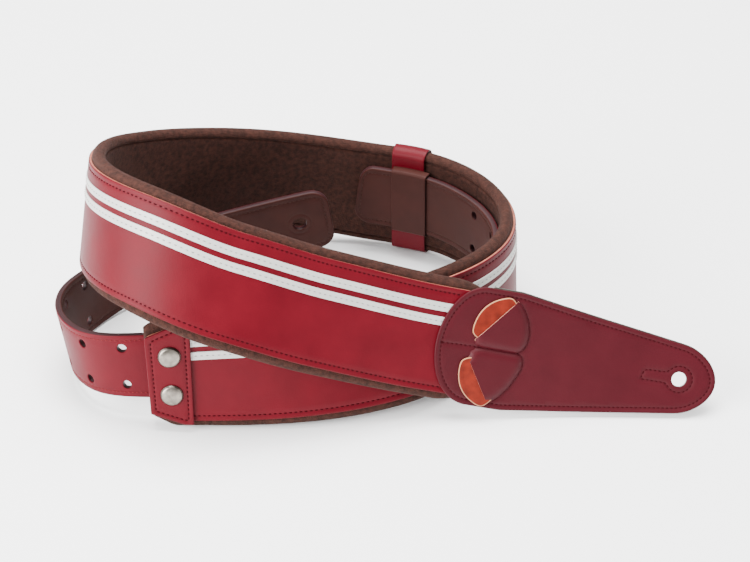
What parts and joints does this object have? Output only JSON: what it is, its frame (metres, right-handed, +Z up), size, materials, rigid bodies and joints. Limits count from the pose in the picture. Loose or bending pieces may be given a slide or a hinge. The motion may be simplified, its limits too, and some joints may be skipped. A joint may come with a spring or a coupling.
{
  "type": "guitar strap",
  "caption": "Padded leather guitar strap coiled on its edge, with an adjustable punched tail, a sliding keeper, stud screws and a front tab with pick pockets.",
  "frame": {"origin": "centre of the footprint at floor level", "axes": "+Z up, +X along the front tab away from the coil, -Y towards the side where the red face of the front tab looks"},
  "size_m": [0.3532, 0.186, 0.1271],
  "materials": {
    "red_leather": "smooth, semi-gloss",
    "brown_leather": "smooth lining, satin",
    "suede": "brushed suede",
    "foam": "closed-cell foam",
    "tape": "woven reinforcement",
    "silver_stripe": "silver-grey leather strip",
    "nickel": "aged satin nickel",
    "pick_plastic": "marbled celluloid"
  },
  "bodies": {
    "strap": {"suede_cover": "suede", "foam_core": "foam", "face_leather": "red_leather", "stripe_upper": "silver_stripe", "stripe_lower": "silver_stripe", "adjuster_plate": "red_leather", "stud_cap_upper": "nickel", "stud_cap_lower": "nickel", "tail_face": "red_leather", "tail_tape": "tape", "tail_lining": "brown_leather", "tab_face": "red_leather", "tab_stiffener": "tape", "tab_lining": "brown_leather"},
    "keeper": {"keeper_band": "red_leather", "keeper_loop": "brown_leather"},
    "screw_upper": {"stud_screw_upper": "nickel"},
    "screw_lower": {"stud_screw_lower": "nickel"},
    "pick_upper_body": {"pick_upper": "pick_plastic"},
    "pick_lower_body": {"pick_lower": "pick_plastic"}
  },
  "joints": [
    {"name": "keeper_slide", "type": "hinge", "parent": "strap", "child": "keeper", "pos_m": [-0.0237, -0.02679, 0.0357], "axis": [0, 0, 1], "range_deg": [-7, 5]},
    {"name": "screw_upper_turn", "type": "hinge", "parent": "strap", "child": "screw_upper", "pos_m": [-0.11182, -0.06887, 0.04288], "axis": [0.0424, -0.9847, 0.1688], "continuous": true},
    {"name": "screw_lower_turn", "type": "hinge", "parent": "strap", "child": "screw_lower", "pos_m": [-0.11125, -0.07266, 0.02061], "axis": [0.0424, -0.9847, 0.1688], "continuous": true},
    {"name": "pick_upper_out", "type": "slide", "parent": "strap", "child": "pick_upper_body", "axis": [-0.6215, 0.1872, 0.7607], "range_m": [0, 0.025]},
    {"name": "pick_lower_out", "type": "slide", "parent": "strap", "child": "pick_lower_body", "axis": [-0.9115, -0.2968, -0.2847], "range_m": [0, 0.025]}
  ]
}
